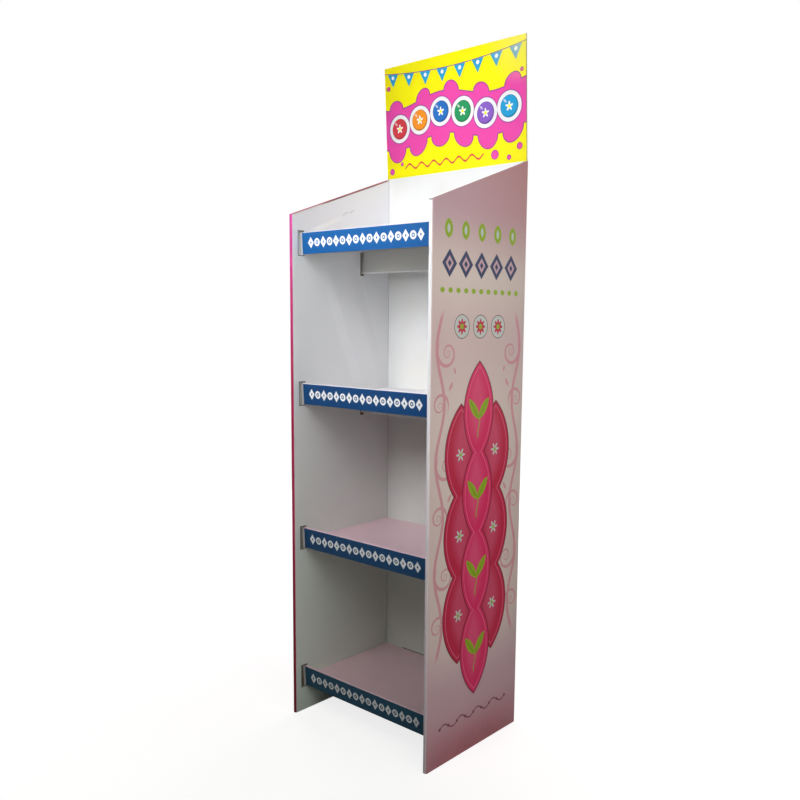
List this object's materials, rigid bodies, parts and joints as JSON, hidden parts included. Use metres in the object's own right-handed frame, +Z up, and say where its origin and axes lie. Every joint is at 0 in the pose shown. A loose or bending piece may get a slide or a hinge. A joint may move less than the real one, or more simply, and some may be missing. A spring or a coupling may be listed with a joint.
{
  "type": "cardboard floor display stand",
  "caption": "Tall free-standing shelf display of folded corrugated board: hollow side walls with sloping tops, lipped shelf trays hung in slots and a leaning header card.",
  "frame": {"origin": "on the floor, at the middle of the footprint", "axes": "+X to the right seen from the front, +Y to the back, +Z up along the height"},
  "size_m": [0.4418, 0.3326, 1.6107],
  "materials": {
    "left_wall_print": "magenta print under a dull varnish, white liner inside",
    "right_wall_print": "dusty rose print under a dull varnish, white liner inside",
    "white_board": "white liner, unprinted",
    "tray_board": "blue print on the fascia, pale liner elsewhere",
    "header_print": "yellow print under gloss varnish"
  },
  "bodies": {
    "root": {"left_side_wall": "left_wall_print", "right_side_wall": "right_wall_print", "back_panel": "white_board", "header_card": "header_print", "shelf_tray_1": "tray_board", "shelf_tray_2": "tray_board", "shelf_tray_3": "tray_board", "shelf_tray_4": "tray_board", "shelf_beam_1": "white_board", "shelf_beam_2": "white_board", "shelf_beam_3": "white_board", "shelf_beam_4": "white_board"}
  },
  "joints": []
}
